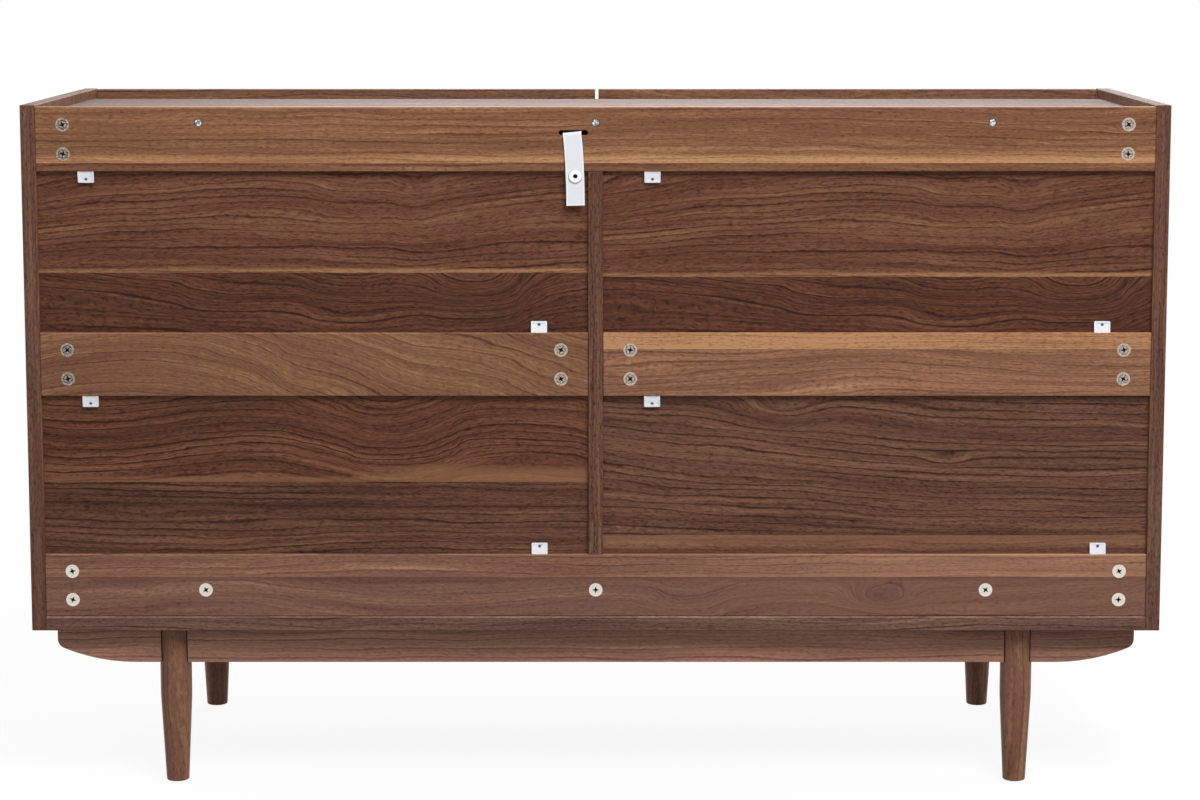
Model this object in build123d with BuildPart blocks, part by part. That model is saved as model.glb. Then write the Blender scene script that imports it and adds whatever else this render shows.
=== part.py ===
"""A low double dresser: a panel case on turned legs, with six drawers that run on steel side runners.

The drawers open towards -Y and the back of the case faces +Y. The origin is on the floor, under the middle
of the case. Left and right are the sides as they are from the front. All lengths are in millimetres.
"""

import os

from build123d import *

os.makedirs("parts", exist_ok=True)

# Case: two sides, a top and a bottom between them, and a divider
case_width = 1250.0
case_depth = 400.0
case_height = 582.0
panel_thickness = 16.0
top_drop = 11.0  # from the upper edge of the sides down to the top's surface
edge_bevel = 0.6  # bevel along the boards' edges

# Rear rails
rail_height = 70.0
rail_thickness = 16.0
rail_drop = 2.0  # from the upper edge of the sides down to the top rail

# Back panels, which stand in grooves
back_thickness = 5.0
back_recess = 6.0  # from the rear edge of the sides in to the panels' rear face
groove_depth = 5.0
groove_slack = 0.2  # between a panel's face and its groove, on each side
groove_end_slack = 1.0  # between a panel's edge and the bottom of its groove

# Plastic wedges that keep the back panels tight in their grooves
clip_width = 17.5
clip_height = 12.5
clip_root_thickness = 5.4
clip_tip_thickness = 3.6
clip_corner = 1.2
clip_rim = 1.8  # what a wedge's tray leaves at its sides and tip
clip_tray_depth = 0.6
clip_hole_diameter = 3.4
clip_hole_depth = 2.6
clip_hole_inset = 3.8  # from a wedge's tip to the middle of its blind hole
clip_inset = 54.0  # from the end of a bay to the middle of its wedge

# Cam locks and the bolts that they pull on
cam_diameter = 15.0
cam_length = 12.5
cam_inset = 30.0  # from a rail's end to the cam's axis
cam_pitch = 32.0
cam_slack = 0.1  # around the cam in its pocket
cam_floor_slack = 0.3
cam_cross_length = 8.4
cam_cross_width = 2.8  # at the middle of the cross, whose arms are pointed
cam_cross_depth = 4.0
cam_turn = 37.0  # from one cam to the next, in degrees, as each is tightened on its own
bolt_diameter = 6.4
bolt_tip = 3.0  # how far a bolt reaches past the cam's axis
thread_diameter = 5.0
thread_length = 11.0
bore_slack = 0.3  # added to the diameter of whatever a plain bore holds
bore_end_slack = 0.5
fixing_offset = 431.5  # from the middle of the case to the outer fixings along the rails

# Screws
screw_diameter = 4.0
screw_head_diameter = 8.6
screw_head_height = 2.6
rail_screw_sink = 4.4  # depth of the counterbore in the top rail
rail_screw_grip = 34.0  # length in the top's rear edge
skirt_screw_grip = 24.0
strap_screw_grip = 12.0

# Dowels
dowel_diameter = 8.0
dowel_length = 30.0
dowel_face_depth = 11.0  # the part of a dowel that is let into a panel's face
dowel_edge_inset = 50.0

# Legs, turned, and let into by the skirt boards
leg_height = 178.0
leg_diameter = 35.0
foot_diameter = 25.0
leg_taper_height = 98.0
leg_blend_radius = 300.0
foot_round = 1.5
leg_inset = 33.0  # from the front or rear plane to a leg's axis
leg_bolt_diameter = 8.0
leg_bolt_grip = 40.0
leg_bolt_head_diameter = 16.0
leg_bolt_head_height = 3.0

# Skirts under the front and the rear of the case
skirt_thickness = 16.0
skirt_height = 41.0
skirt_end_inset = 24.0  # from the outer face of a side in to the skirt's end
skirt_inset = 22.0  # from the front or rear plane to a skirt's outer face
skirt_overhang = 130.0  # from a leg's axis to the skirt's end
skirt_end_height = 22.0  # the upright part of a skirt's end
skirt_sweep = 87.0  # the curved part of a skirt's lower edge
skirt_corner = 11.0
neck_width = 27.2  # what the housings leave of a leg between two skirt boards
housing_slack = 1.2
skirt_screw_inset = 60.0  # from a leg's axis to the nearest screw in each board beside it
skirt_screw_offset = 150.0  # from the middle of the case to the inner screws

# Wall strap
strap_width = 20.0
strap_thickness = 1.4
strap_offset = 24.0  # from the middle of the case to the strap's middle
strap_hang = 82.0  # from the slot's upper edge to the strap's lower end
strap_tail = 54.0  # the run under the top
strap_bend = 2.4
strap_clear = 0.3
strap_stand_off = 1.6  # between the top rail and the hanging strap
strap_screw_inset = 14.0
slot_width = 32.0
slot_height = 5.5
eyelet_offset = 22.0  # from the middle of the case to the eyelet's axis
eyelet_drop = 50.0  # from the slot's upper edge to the eyelet's axis
eyelet_diameter = 15.0
eyelet_barrel = 7.0
eyelet_bore = 5.0
eyelet_flange = 1.0
eyelet_dome = 1.4  # thickness of the flange that shows
eyelet_round = 1.1
eyelet_slack = 0.1

# Drawers
row_names = ("top", "middle", "bottom")
front_thickness = 16.0
front_side_gap = 2.0
front_centre_gap = 4.0
front_top_drop = 0.5  # from the upper edge of the sides down to the top fronts
front_floor_gap = 3.0
finger_gap = 22.0  # behind the top fronts, and between a front and the one above it
drawer_board = 12.0  # thickness of a drawer's sides and back
drawer_rear_gap = 18.0  # between a drawer's back and the rear rails
drawer_top_drop = 40.0  # from a front's upper edge down to the drawer's sides
drawer_foot_rise = 12.0  # from a front's lower edge up to the drawer's sides
drawer_bottom_thickness = 5.0
drawer_bottom_rise = 10.0  # from the sides' lower edge up to the bottom
drawer_groove_depth = 6.0
drawer_groove_slack = 0.1
divider_front_gap = 2.0

# Drawer runners: a channel on the case holds a hat section on the drawer
runner_width = 13.0
runner_height = 35.0
runner_steel = 1.2
runner_gap = 0.4
runner_front_gap = 2.0
runner_channel_depth = 9.0
runner_lip = 5.0
runner_reach = 10.0  # how far the hat section reaches from the drawer into the channel

# Levels and planes that the pieces share
rear_y = case_depth / 2
front_y = -case_depth / 2
case_bottom = leg_height
case_top = leg_height + case_height
inner_half = case_width / 2 - panel_thickness
divider_half = panel_thickness / 2
floor_z = case_bottom + panel_thickness
top_z = case_top - top_drop
top_underside = top_z - panel_thickness
rail_front_y = rear_y - rail_thickness
rail_middle_y = rear_y - rail_thickness / 2
front_back_y = front_y + front_thickness
top_front_y = front_back_y + finger_gap
drawer_rear_y = rail_front_y - drawer_rear_gap
skirt_half = case_width / 2 - skirt_end_inset
leg_offset = skirt_half - skirt_overhang

top_rail_z = case_top - rail_drop - rail_height
bottom_rail_z = floor_z
middle_rail_z = (top_rail_z + bottom_rail_z) / 2
groove_rear_y = rear_y - back_recess + groove_slack
groove_front_y = rear_y - back_recess - back_thickness - groove_slack
back_reach = groove_depth - groove_end_slack

dowel_places_y = (top_front_y + dowel_edge_inset, rail_front_y - dowel_edge_inset)
fixing_places_x = (-fixing_offset, 0.0, fixing_offset)
leg_places_y = {"front": front_y + leg_inset, "rear": rear_y - leg_inset}
leg_places_x = {"left": -leg_offset, "right": leg_offset}
side_signs = {"left": -1, "right": 1}
skirt_middle_y = {
    "front": front_y + skirt_inset + skirt_thickness / 2,
    "rear": rear_y - skirt_inset - skirt_thickness / 2,
}
skirt_screw_places_x = [
    sign * offset
    for sign in side_signs.values()
    for offset in (skirt_screw_offset, leg_offset - skirt_screw_inset, leg_offset + skirt_screw_inset)
]

# A rail is (left end, right end, lower edge, whether its lower and its upper edge hold a back panel)
rails = {
    "top_rear_rail": (-inner_half, inner_half, top_rail_z, True, False),
    "middle_rear_rail_left": (-inner_half, -divider_half, middle_rail_z, True, True),
    "middle_rear_rail_right": (divider_half, inner_half, middle_rail_z, True, True),
    "bottom_rear_rail": (-inner_half, inner_half, bottom_rail_z, False, True),
}
bays = {"left": (-inner_half, -divider_half), "right": (divider_half, inner_half)}
back_openings = {
    "upper": (middle_rail_z + rail_height, top_rail_z),
    "lower": (bottom_rail_z + rail_height, middle_rail_z),
}


def write(builder, name):
    """Label a finished piece and write it as one STEP file."""
    builder.part.label = name
    export_step(builder.part, f"parts/{name}.step")


def slab(low, high, mode=Mode.ADD):
    """A box from its low corner to its high corner."""
    middle = [(a + b) / 2 for a, b in zip(low, high)]
    with Locations(tuple(middle)):
        Box(*[b - a for a, b in zip(low, high)], mode=mode)


def rod(point, direction, diameter, length, mode=Mode.ADD):
    """A cylinder that starts at a point and runs along a direction."""
    with Locations(Plane(origin=point, z_dir=direction)):
        Cylinder(diameter / 2, length, align=(Align.CENTER, Align.CENTER, Align.MIN), mode=mode)


def bore(point, direction, diameter, length):
    """A plain bore with room for what it holds, from a face into the board."""
    rod(point, direction, diameter + bore_slack, length + bore_end_slack, mode=Mode.SUBTRACT)


def end_levels(rail_z):
    """The levels of the two cams at each end of a rail."""
    middle = rail_z + rail_height / 2
    return (middle - cam_pitch / 2, middle + cam_pitch / 2)


def rail_ends(name):
    """The ends of a rail, each as its X and the direction out of the rail there."""
    left, right = rails[name][:2]
    return ((left, -1), (right, 1))


# Sides
for side, sign in side_signs.items():
    outer_x, inner_x = sign * case_width / 2, sign * inner_half
    with BuildPart() as side_panel:
        slab(
            (min(outer_x, inner_x), front_y, case_bottom),
            (max(outer_x, inner_x), rear_y, case_top),
        )
        chamfer(side_panel.edges(), edge_bevel)
        groove_x = inner_x + sign * groove_depth
        for low, high in back_openings.values():
            slab(
                (min(inner_x, groove_x), groove_front_y, low - groove_depth),
                (max(inner_x, groove_x), groove_rear_y, high + groove_depth),
                Mode.SUBTRACT,
            )
        for rail_z in (top_rail_z, middle_rail_z, bottom_rail_z):
            for level in end_levels(rail_z):
                bore((inner_x, rail_middle_y, level), (sign, 0, 0), thread_diameter, thread_length)
        for place_y in dowel_places_y:
            for level in (top_z - panel_thickness / 2, floor_z - panel_thickness / 2):
                bore((inner_x, place_y, level), (sign, 0, 0), dowel_diameter, dowel_face_depth)
    write(side_panel, f"side_panel_{side}")

# Top, in front of the top rail and set back behind the drawer fronts
with BuildPart() as top_panel:
    slab((-inner_half, top_front_y, top_underside), (inner_half, rail_front_y, top_z))
    chamfer(top_panel.edges().group_by(Axis.Y)[0], edge_bevel)
    for place_y in dowel_places_y:
        for sign in side_signs.values():
            edge = (sign * inner_half, place_y, top_z - panel_thickness / 2)
            bore(edge, (-sign, 0, 0), dowel_diameter, dowel_length - dowel_face_depth)
        bore((0, place_y, top_underside), (0, 0, 1), dowel_diameter, dowel_face_depth)
    for place_x in fixing_places_x:
        edge = (place_x, rail_front_y, top_z - panel_thickness / 2)
        bore(edge, (0, -1, 0), screw_diameter, rail_screw_grip)
    strap_screw_y = rail_front_y - strap_tail + strap_screw_inset
    bore((strap_offset, strap_screw_y, top_underside), (0, 0, 1), screw_diameter, strap_screw_grip)
write(top_panel, "top_panel")

# Bottom, from the front plane to the rear plane
with BuildPart() as bottom_panel:
    slab((-inner_half, front_y, case_bottom), (inner_half, rear_y, floor_z))
    across = bottom_panel.edges().group_by(Axis.Y)
    chamfer(across[0] + across[-1], edge_bevel)
    for place_y in dowel_places_y:
        for sign in side_signs.values():
            edge = (sign * inner_half, place_y, floor_z - panel_thickness / 2)
            bore(edge, (-sign, 0, 0), dowel_diameter, dowel_length - dowel_face_depth)
        bore((0, place_y, floor_z), (0, 0, -1), dowel_diameter, dowel_face_depth)
    for place_x in fixing_places_x:
        bore((place_x, rail_middle_y, floor_z), (0, 0, -1), thread_diameter, thread_length)
    for place_y in leg_places_y.values():
        for place_x in leg_places_x.values():
            bore((place_x, place_y, floor_z), (0, 0, -1), leg_bolt_diameter, panel_thickness)
    for place_y in skirt_middle_y.values():
        for place_x in skirt_screw_places_x:
            bore((place_x, place_y, floor_z), (0, 0, -1), screw_diameter, panel_thickness)
write(bottom_panel, "bottom_panel")

# Divider, notched for the top and bottom rails
with BuildPart() as centre_divider:
    divider_front_y = front_back_y + divider_front_gap
    slab((-divider_half, divider_front_y, floor_z), (divider_half, rail_front_y, top_underside))
    slab(
        (-divider_half, rail_front_y, bottom_rail_z + rail_height),
        (divider_half, rear_y, top_rail_z),
    )
    chamfer(centre_divider.edges().filter_by(Axis.Z).group_by(Axis.Y)[-1], edge_bevel)
    for low, high in back_openings.values():
        for sign in side_signs.values():
            faces_x = (sign * divider_half, sign * (divider_half - groove_depth))
            slab(
                (min(faces_x), groove_front_y, low - groove_depth),
                (max(faces_x), groove_rear_y, high + groove_depth),
                Mode.SUBTRACT,
            )
    for level in end_levels(middle_rail_z):
        bore((-divider_half, rail_middle_y, level), (1, 0, 0), thread_diameter, panel_thickness)
    for place_y in dowel_places_y:
        for edge_z, direction in ((top_underside, -1), (floor_z, 1)):
            edge = (0, place_y, edge_z)
            bore(edge, (0, 0, direction), dowel_diameter, dowel_length - dowel_face_depth)
write(centre_divider, "centre_divider")


def cam_pocket(place_x, level):
    """The round pocket of a cam, from a rail's rear face."""
    pocket_diameter = cam_diameter + 2 * cam_slack
    pocket_depth = cam_length + cam_floor_slack
    rod((place_x, rear_y, level), (0, -1, 0), pocket_diameter, pocket_depth, Mode.SUBTRACT)


# Rear rails, with cams at their ends
for name, (left, right, rail_z, groove_below, groove_above) in rails.items():
    with BuildPart() as rail:
        slab((left, rail_front_y, rail_z), (right, rear_y, rail_z + rail_height))
        chamfer(rail.edges().filter_by(Axis.X), edge_bevel)
        if groove_below:
            slab(
                (left, groove_front_y, rail_z),
                (right, groove_rear_y, rail_z + groove_depth),
                Mode.SUBTRACT,
            )
        if groove_above:
            slab(
                (left, groove_front_y, rail_z + rail_height - groove_depth),
                (right, groove_rear_y, rail_z + rail_height),
                Mode.SUBTRACT,
            )
        for end_x, out in rail_ends(name):
            for level in end_levels(rail_z):
                cam_pocket(end_x - out * cam_inset, level)
                bore((end_x, rail_middle_y, level), (-out, 0, 0), bolt_diameter, cam_inset + bolt_tip)
        if name == "bottom_rear_rail":
            for place_x in fixing_places_x:
                cam_pocket(place_x, rail_z + cam_inset)
                bore((place_x, rail_middle_y, rail_z), (0, 0, 1), bolt_diameter, cam_inset + bolt_tip)
        if name == "top_rear_rail":
            for place_x in fixing_places_x:
                hole_plane = Plane(
                    origin=(place_x, rear_y, top_z - panel_thickness / 2),
                    z_dir=(0, 1, 0),
                )
                with Locations(hole_plane):
                    CounterBoreHole(
                        (screw_diameter + bore_slack) / 2,
                        (screw_head_diameter + bore_slack) / 2,
                        rail_screw_sink,
                    )
            slot_plane = Plane(
                origin=(strap_offset, rear_y, top_underside - slot_height / 2),
                x_dir=(1, 0, 0),
                z_dir=(0, -1, 0),
            )
            with BuildSketch(slot_plane):
                SlotOverall(slot_width, slot_height)
            extrude(amount=rail_thickness, mode=Mode.SUBTRACT)
    write(rail, name)

# Back panels
for level_name, (low, high) in back_openings.items():
    for bay, (left, right) in bays.items():
        with BuildPart() as back_panel:
            slab(
                (left - back_reach, rear_y - back_recess - back_thickness, low - back_reach),
                (right + back_reach, rear_y - back_recess, high + back_reach),
            )
        write(back_panel, f"back_panel_{level_name}_{bay}")

# Wedges: one under each panel's upper rail and one on its lower rail
panel_y = rear_y - back_recess
clip_places = [
    place
    for low, high in back_openings.values()
    for left, right in bays.values()
    for place in ((right - clip_inset, high, -1), (left + clip_inset, low, 1))
]


def clip_face_y(reach):
    """The Y of a wedge's sloping face, at a distance from its root."""
    return panel_y + clip_root_thickness + (clip_tip_thickness - clip_root_thickness) * reach / clip_height


def clip_section(place_x, width, root_z, points, mode=Mode.ADD):
    """Extrude a section of a wedge, given as (Y, distance up from the root) points, over a width."""
    with BuildSketch(Plane.YZ.offset(place_x - width / 2)) as profile:
        with BuildLine():
            Polyline(*[(y, root_z + rise) for y, rise in points], close=True)
        make_face()
    extrude(profile.sketch, amount=width, mode=mode)


with BuildPart() as back_panel_clips:
    for place_x, root_z, up in clip_places:
        wedge = [(panel_y, 0), (clip_face_y(0), 0), (clip_face_y(clip_height), up * clip_height)]
        clip_section(place_x, clip_width, root_z, wedge + [(panel_y, up * clip_height)])
    fillet(back_panel_clips.edges().filter_by(Axis.Y), clip_corner)
    for place_x, root_z, up in clip_places:
        tray_end = clip_height - clip_rim
        tray = [
            (clip_face_y(reach) + offset, up * reach)
            for reach, offset in (
                (0, -clip_tray_depth),
                (0, clip_tray_depth),
                (tray_end, clip_tray_depth),
                (tray_end, -clip_tray_depth),
            )
        ]
        clip_section(place_x, clip_width - 2 * clip_rim, root_z, tray, Mode.SUBTRACT)
        hole_reach = clip_height - clip_hole_inset
        hole_mouth = (place_x, clip_face_y(hole_reach), root_z + up * hole_reach)
        rod(hole_mouth, (0, -1, 0), clip_hole_diameter, clip_hole_depth, Mode.SUBTRACT)
write(back_panel_clips, "back_panel_clips")

# Cam joints, each as its cam's place, its bolt's direction and the thread past the rail's end.
# The middle rails share bolts that run through the divider, so each has half of that thread.
cam_joints = []
for name, rail_values in rails.items():
    for end_x, out in rail_ends(name):
        thread = divider_half if abs(end_x) == divider_half else thread_length
        for level in end_levels(rail_values[2]):
            cam_place = Vector(end_x - out * cam_inset, rail_middle_y, level)
            cam_joints.append((cam_place, Vector(out, 0, 0), thread))
for place_x in fixing_places_x:
    cam_place = Vector(place_x, rail_middle_y, bottom_rail_z + cam_inset)
    cam_joints.append((cam_place, Vector(0, 0, -1), thread_length))

with BuildPart() as cam_locks:
    for number, (cam_place, along, _) in enumerate(cam_joints):
        cam_face = (cam_place.X, rear_y, cam_place.Z)
        rod(cam_face, (0, -1, 0), cam_diameter, cam_length)
        tip = cam_place - along * (bolt_tip + bore_end_slack)
        rod(tip, along, bolt_diameter + bore_slack, cam_diameter, Mode.SUBTRACT)
        with BuildSketch(Plane(origin=cam_face, z_dir=(0, 1, 0))):
            for turn in (number * cam_turn, number * cam_turn + 90):
                Polygon(
                    (cam_cross_length / 2, 0),
                    (0, cam_cross_width / 2),
                    (-cam_cross_length / 2, 0),
                    (0, -cam_cross_width / 2),
                    rotation=turn,
                )
        extrude(amount=-cam_cross_depth, mode=Mode.SUBTRACT)
write(cam_locks, "cam_locks")

with BuildPart() as cam_bolts:
    for cam_place, along, thread in cam_joints:
        rod(cam_place - along * bolt_tip, along, bolt_diameter, cam_inset + bolt_tip)
        rod(cam_place + along * cam_inset, along, thread_diameter, thread)
write(cam_bolts, "cam_bolts")


def screw(head_face, direction, length):
    """A pan-head screw: its head stands behind head_face and its shank runs on along direction."""
    along = Vector(direction)
    rod(Vector(head_face) - along * screw_head_height, along, screw_head_diameter, screw_head_height)
    rod(head_face, along, screw_diameter, length)


with BuildPart() as case_screws:
    sunk_y = rear_y - rail_screw_sink
    for place_x in fixing_places_x:
        head_face = (place_x, sunk_y, top_z - panel_thickness / 2)
        screw(head_face, (0, -1, 0), sunk_y - rail_front_y + rail_screw_grip)
    for place_y in skirt_middle_y.values():
        for place_x in skirt_screw_places_x:
            screw((place_x, place_y, floor_z), (0, 0, -1), panel_thickness + skirt_screw_grip)
    strap_underside = top_underside - strap_clear - strap_thickness
    screw(
        (strap_offset, strap_screw_y, strap_underside),
        (0, 0, 1),
        strap_clear + strap_thickness + strap_screw_grip,
    )
write(case_screws, "case_screws")

with BuildPart() as dowels:
    for place_y in dowel_places_y:
        for level in (top_z - panel_thickness / 2, floor_z - panel_thickness / 2):
            for sign in side_signs.values():
                start_x = sign * (inner_half + dowel_face_depth)
                rod((start_x, place_y, level), (-sign, 0, 0), dowel_diameter, dowel_length)
        rod((0, place_y, top_underside + dowel_face_depth), (0, 0, -1), dowel_diameter, dowel_length)
        rod((0, place_y, floor_z - dowel_face_depth), (0, 0, 1), dowel_diameter, dowel_length)
write(dowels, "dowels")

# Skirts: a middle board and two swept end boards between and beside the legs
neck_half = neck_width / 2
skirt_z = case_bottom - skirt_height
for end, middle_y in skirt_middle_y.items():
    skirt_rear_y = middle_y + skirt_thickness / 2
    with BuildPart() as skirt:
        middle_half = leg_offset - neck_half - housing_slack
        slab(
            (-middle_half, middle_y - skirt_thickness / 2, skirt_z),
            (middle_half, skirt_rear_y, case_bottom),
        )
        end_start = leg_offset + neck_half + housing_slack
        with BuildSketch(Plane.XZ.offset(-skirt_rear_y)) as end_board:
            with BuildLine():
                foot = Line((end_start, skirt_z), (skirt_half - skirt_sweep, skirt_z))
                sweep_end = (skirt_half, case_bottom - skirt_end_height)
                TangentArc(foot @ 1, sweep_end, tangent=foot % 1)
                Polyline(
                    sweep_end,
                    (skirt_half, case_bottom),
                    (end_start, case_bottom),
                    (end_start, skirt_z),
                )
            make_face()
            fillet(end_board.vertices().sort_by_distance(sweep_end)[0], skirt_corner)
            mirror(about=Plane.YZ)
        extrude(amount=skirt_thickness)
        for place_x in skirt_screw_places_x:
            bore((place_x, middle_y, case_bottom), (0, 0, -1), screw_diameter, skirt_screw_grip)
    write(skirt, f"{end}_skirt_boards")

# Legs, with housings for the skirt boards' ends
for end, axis_y in leg_places_y.items():
    for side, axis_x in leg_places_x.items():
        with BuildPart() as leg:
            with BuildSketch(Plane.XZ) as profile:
                with BuildLine():
                    Polyline(
                        (0, 0),
                        (foot_diameter / 2, 0),
                        (leg_diameter / 2, leg_taper_height),
                        (leg_diameter / 2, leg_height),
                        (0, leg_height),
                        close=True,
                    )
                make_face()
                shoulder = (leg_diameter / 2, leg_taper_height)
                fillet(profile.vertices().sort_by_distance(shoulder)[0], leg_blend_radius)
                heel = (foot_diameter / 2, 0)
                fillet(profile.vertices().sort_by_distance(heel)[0], foot_round)
            revolve(axis=Axis.Z)
            board_y = skirt_middle_y[end] - axis_y
            half_board = skirt_thickness / 2 + groove_slack
            for sign in side_signs.values():
                faces_x = (sign * neck_half, sign * leg_diameter)
                slab(
                    (min(faces_x), board_y - half_board, leg_height - skirt_height),
                    (max(faces_x), board_y + half_board, leg_height),
                    Mode.SUBTRACT,
                )
            bore((0, 0, leg_height), (0, 0, -1), leg_bolt_diameter, leg_bolt_grip)
        leg.part.position = (axis_x, axis_y, 0)
        write(leg, f"leg_{end}_{side}")

with BuildPart() as leg_bolts:
    for place_y in leg_places_y.values():
        for place_x in leg_places_x.values():
            top = (place_x, place_y, floor_z + leg_bolt_head_height)
            rod(top, (0, 0, -1), leg_bolt_head_diameter, leg_bolt_head_height)
            shank = leg_bolt_head_height + panel_thickness + leg_bolt_grip
            rod(top, (0, 0, -1), leg_bolt_diameter, shank)
write(leg_bolts, "leg_bolts")

# Wall strap: screwed under the top, out through the slot and down the back
strap_hang_y = rear_y + strap_stand_off + strap_thickness / 2
strap_run_z = top_underside - strap_clear - strap_thickness / 2
eyelet_z = top_underside - eyelet_drop
with BuildPart() as wall_strap:
    with BuildSketch(Plane.YZ.offset(strap_offset - strap_width / 2)):
        with BuildLine():
            FilletPolyline(
                (rail_front_y - strap_tail, strap_run_z),
                (strap_hang_y, strap_run_z),
                (strap_hang_y, top_underside - strap_hang),
                radius=strap_bend,
            )
        trace(line_width=strap_thickness)
    extrude(amount=strap_width)
    screw_hole = (strap_offset, strap_screw_y, strap_run_z - strap_thickness)
    bore(screw_hole, (0, 0, 1), screw_diameter, 2 * strap_thickness)
    eyelet_hole = (eyelet_offset, strap_hang_y + strap_thickness, eyelet_z)
    bore(eyelet_hole, (0, -1, 0), eyelet_barrel, 2 * strap_thickness)
write(wall_strap, "wall_strap")

with BuildPart() as strap_eyelet:
    eyelet_half = strap_thickness / 2 + eyelet_slack
    dome_start = (eyelet_offset, strap_hang_y + eyelet_half, eyelet_z)
    rod(dome_start, (0, 1, 0), eyelet_diameter, eyelet_dome)
    fillet(strap_eyelet.edges().group_by(Axis.Y)[-1], eyelet_round)
    barrel_start = (eyelet_offset, strap_hang_y - eyelet_half - eyelet_flange, eyelet_z)
    rod(barrel_start, (0, 1, 0), eyelet_diameter, eyelet_flange)
    eyelet_length = 2 * eyelet_half + eyelet_flange + eyelet_dome
    rod(barrel_start, (0, 1, 0), eyelet_barrel, eyelet_length)
    rod(barrel_start, (0, 1, 0), eyelet_bore, eyelet_length, Mode.SUBTRACT)
write(strap_eyelet, "strap_eyelet")

# Drawer rows, from the top one down
front_zone = case_top - front_top_drop - floor_z - front_floor_gap
front_height = (front_zone + finger_gap) / len(row_names) - finger_gap
front_levels = {
    name: case_top - front_top_drop - front_height - row * (front_height + finger_gap)
    for row, name in enumerate(row_names)
}
drawer_side_height = front_height - drawer_top_drop - drawer_foot_rise
runner_rise = drawer_foot_rise + drawer_side_height / 2
runner_front_y = front_back_y + runner_front_gap


def section(points, wall_x, direction, middle_z):
    """Extrude a runner's section, given as (distance from a wall, height) points, along the runner."""
    with BuildSketch(Plane.XZ.offset(-drawer_rear_y)) as profile:
        with BuildLine():
            Polyline(*[(wall_x + direction * u, middle_z + v) for u, v in points], close=True)
        make_face()
    extrude(profile.sketch, amount=drawer_rear_y - runner_front_y)


def channel_points():
    """The case's member: a channel whose edges turn in over the drawer's member."""
    half = runner_height / 2
    inner = half - runner_steel
    upper = [
        (0, half),
        (runner_channel_depth, half),
        (runner_channel_depth, half - runner_lip),
        (runner_channel_depth - runner_steel, half - runner_lip),
        (runner_channel_depth - runner_steel, inner),
        (runner_steel, inner),
    ]
    return upper + [(u, -v) for u, v in reversed(upper)]


def hat_points():
    """The drawer's member: a hat section whose brims run inside the channel, measured from the drawer."""
    brim = runner_height / 2 - runner_steel - runner_gap
    crown = runner_height / 2 - runner_lip - runner_gap
    upper = [
        (0, crown),
        (runner_reach - runner_steel, crown),
        (runner_reach - runner_steel, brim),
        (runner_reach, brim),
        (runner_reach, crown - runner_steel),
        (runner_steel, crown - runner_steel),
    ]
    return upper + [(u, -v) for u, v in reversed(upper)]


with BuildPart() as case_runners:
    for level in front_levels.values():
        for left, right in bays.values():
            section(channel_points(), left, 1, level + runner_rise)
            section(channel_points(), right, -1, level + runner_rise)
write(case_runners, "case_runners")

# Drawers: front, two sides, back and bottom, with a runner member on each side
for row, level in front_levels.items():
    for bay, (left, right) in bays.items():
        drawer = f"drawer_{row}_{bay}"
        box_left, box_right = left + runner_width, right - runner_width
        side_z = level + drawer_foot_rise
        side_top = side_z + drawer_side_height
        bottom_z = side_z + drawer_bottom_rise
        slot_low = bottom_z - drawer_groove_slack
        slot_high = bottom_z + drawer_bottom_thickness + drawer_groove_slack
        slot_low_x = box_left + drawer_board - drawer_groove_depth
        slot_high_x = box_right - drawer_board + drawer_groove_depth
        slot_front_y = front_back_y - drawer_groove_depth
        slot_rear_y = drawer_rear_y - drawer_board + drawer_groove_depth
        bottom_groove = ((slot_low_x, slot_front_y, slot_low), (slot_high_x, slot_rear_y, slot_high))

        divider_gap = divider_half - front_centre_gap / 2
        front_left = left + front_side_gap if bay == "left" else left - divider_gap
        front_right = right - front_side_gap if bay == "right" else right + divider_gap
        with BuildPart() as drawer_front:
            slab((front_left, front_y, level), (front_right, front_back_y, level + front_height))
            chamfer(drawer_front.edges(), edge_bevel)
            slab(*bottom_groove, Mode.SUBTRACT)
        write(drawer_front, f"{drawer}_front")

        with BuildPart() as drawer_sides:
            for side_x in (box_left, box_right - drawer_board):
                slab((side_x, front_back_y, side_z), (side_x + drawer_board, drawer_rear_y, side_top))
            slab(*bottom_groove, Mode.SUBTRACT)
        write(drawer_sides, f"{drawer}_sides")

        with BuildPart() as drawer_back:
            slab(
                (box_left + drawer_board, drawer_rear_y - drawer_board, side_z),
                (box_right - drawer_board, drawer_rear_y, side_top),
            )
            slab(*bottom_groove, Mode.SUBTRACT)
        write(drawer_back, f"{drawer}_back")

        with BuildPart() as drawer_bottom:
            slab(
                (
                    slot_low_x + drawer_groove_slack,
                    slot_front_y + drawer_groove_slack,
                    bottom_z,
                ),
                (
                    slot_high_x - drawer_groove_slack,
                    slot_rear_y - drawer_groove_slack,
                    bottom_z + drawer_bottom_thickness,
                ),
            )
        write(drawer_bottom, f"{drawer}_bottom")

        with BuildPart() as drawer_runners:
            section(hat_points(), box_left, -1, level + runner_rise)
            section(hat_points(), box_right, 1, level + runner_rise)
        write(drawer_runners, f"{drawer}_runners")
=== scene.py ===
# %% [markdown]
# A low double dresser, seen from behind. Its boards, legs, drawers and fittings come in as solids, already
# in their places, in metres, with the back at +Y. What is left to do here is what a solid can't say: the
# walnut print on the boards, the finish of each fitting, the woven strap, the light and the camera.

# %% Load the solids
import math
from dataclasses import dataclass

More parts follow.
